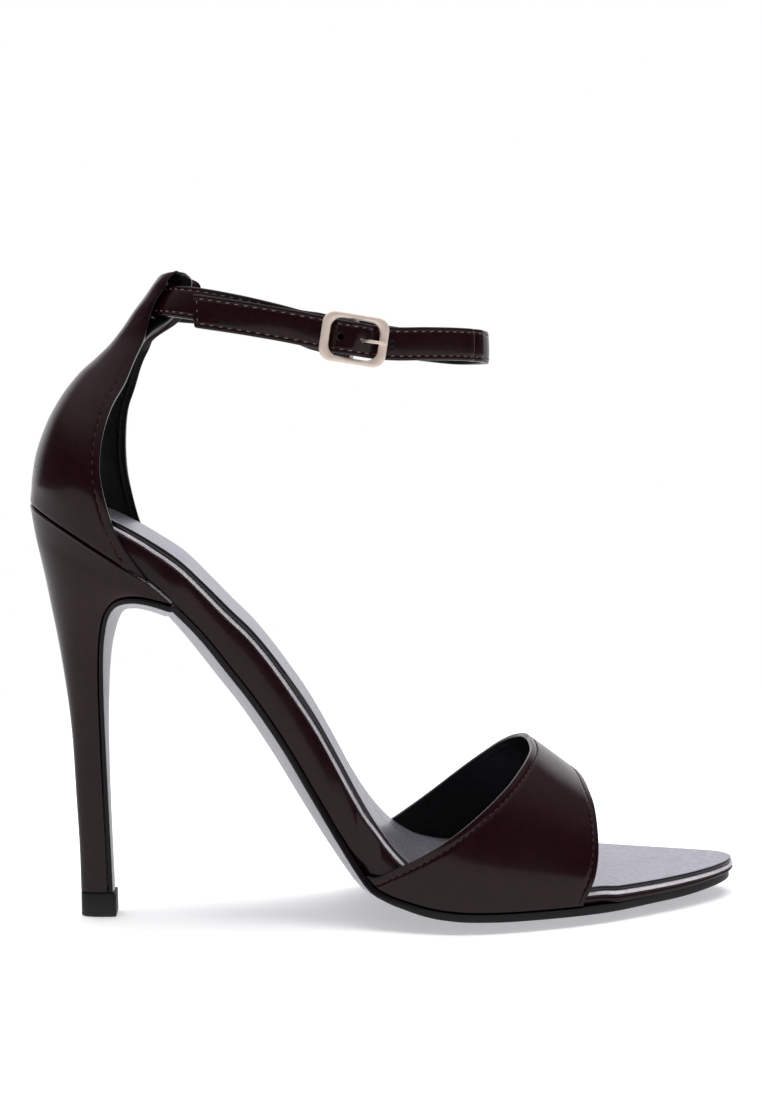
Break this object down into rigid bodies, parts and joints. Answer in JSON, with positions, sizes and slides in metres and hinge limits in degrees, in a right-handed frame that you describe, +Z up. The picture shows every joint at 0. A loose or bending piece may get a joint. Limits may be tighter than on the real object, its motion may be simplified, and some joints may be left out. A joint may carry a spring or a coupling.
{
  "type": "strappy heeled sandal",
  "caption": "High-heeled open sandal with a closed back, a wide strap over the toes and a buckled ankle strap.",
  "frame": {"origin": "middle of the heel tip's lower face, on the floor", "axes": "+X from heel to toe, +Y to the inner side of the foot (right shoe), +Z up"},
  "size_m": [0.1989, 0.0761, 0.1801],
  "materials": {
    "patent_leather": "glossy patent, dark burgundy brown",
    "sock_leather": "smooth metallic grey",
    "sole_leather": "satin pale grey",
    "tip_rubber": "matt black",
    "buckle_metal": "satin rose gold plate"
  },
  "bodies": {
    "root": {"heel": "patent_leather", "heel_tip": "tip_rubber", "outsole": "sole_leather", "insole_board": "patent_leather", "insole_sock": "sock_leather", "vamp_strap": "patent_leather", "heel_counter": "patent_leather", "ankle_strap": "patent_leather", "buckle_frame": "buckle_metal", "buckle_prong": "buckle_metal"}
  },
  "joints": []
}
